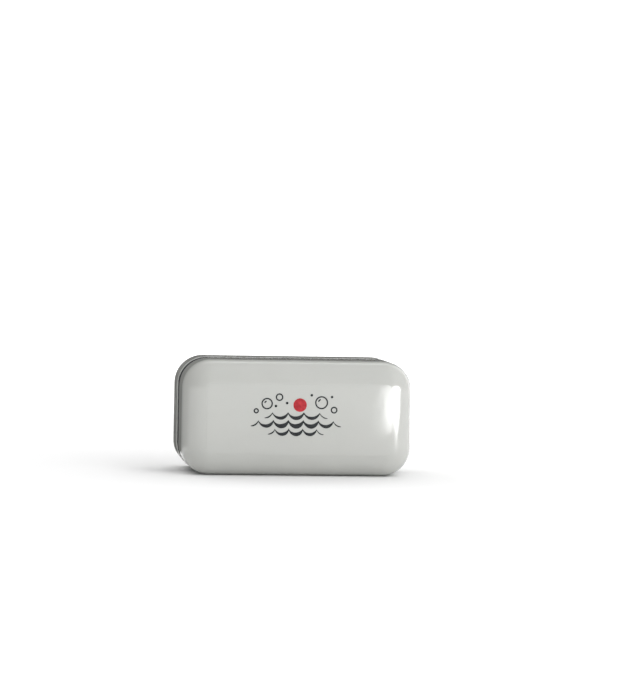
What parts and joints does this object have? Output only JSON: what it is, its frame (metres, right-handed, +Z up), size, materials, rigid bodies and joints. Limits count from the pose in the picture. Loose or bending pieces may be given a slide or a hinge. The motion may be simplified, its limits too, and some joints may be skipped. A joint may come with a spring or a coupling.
{
  "type": "magnetic glass cleaner",
  "caption": "Floating magnetic algae cleaner for aquarium glass: a felt-faced handle half and a buoyant scrubbing half that face each other across the pane.",
  "frame": {"origin": "middle of the bottom, on the long sides that the cleaner stands on, in the middle of the gap between the two halves", "axes": "+X along the length, +Y from the handle half through the glass to the floating half, +Z up"},
  "size_m": [0.06, 0.038, 0.03],
  "materials": {
    "grey_abs": "gloss",
    "solvent_cement": "gloss",
    "epoxy": "gloss",
    "ferrite": "matte",
    "zinc_steel": "satin",
    "tape": "matte",
    "foam": "matte",
    "felt": "matte",
    "hook_pad": "matte"
  },
  "bodies": {
    "handle_half": {"handle_shell": "grey_abs", "handle_base_plate": "grey_abs", "handle_glue_seam": "solvent_cement", "handle_magnet_glue": "epoxy", "handle_magnet_left": "ferrite", "handle_magnet_right": "ferrite", "handle_keeper_plate": "zinc_steel", "handle_pad_adhesive": "tape", "handle_foam_spacer": "foam", "handle_felt_pad": "felt"},
    "float_half": {"float_shell": "grey_abs", "float_base_plate": "grey_abs", "float_glue_seam": "solvent_cement", "float_magnet_glue": "epoxy", "float_magnet_left": "ferrite", "float_magnet_right": "ferrite", "float_keeper_plate": "zinc_steel", "float_pad_adhesive": "tape", "float_foam_block": "foam", "float_scrub_pad": "hook_pad"}
  },
  "joints": [
    {"name": "float_pull_off", "type": "slide", "parent": "handle_half", "child": "float_half", "axis": [0, 1, 0], "range_m": [0, 0.06], "stiffness_N_per_m": 10, "springref_m": -0.04}
  ]
}
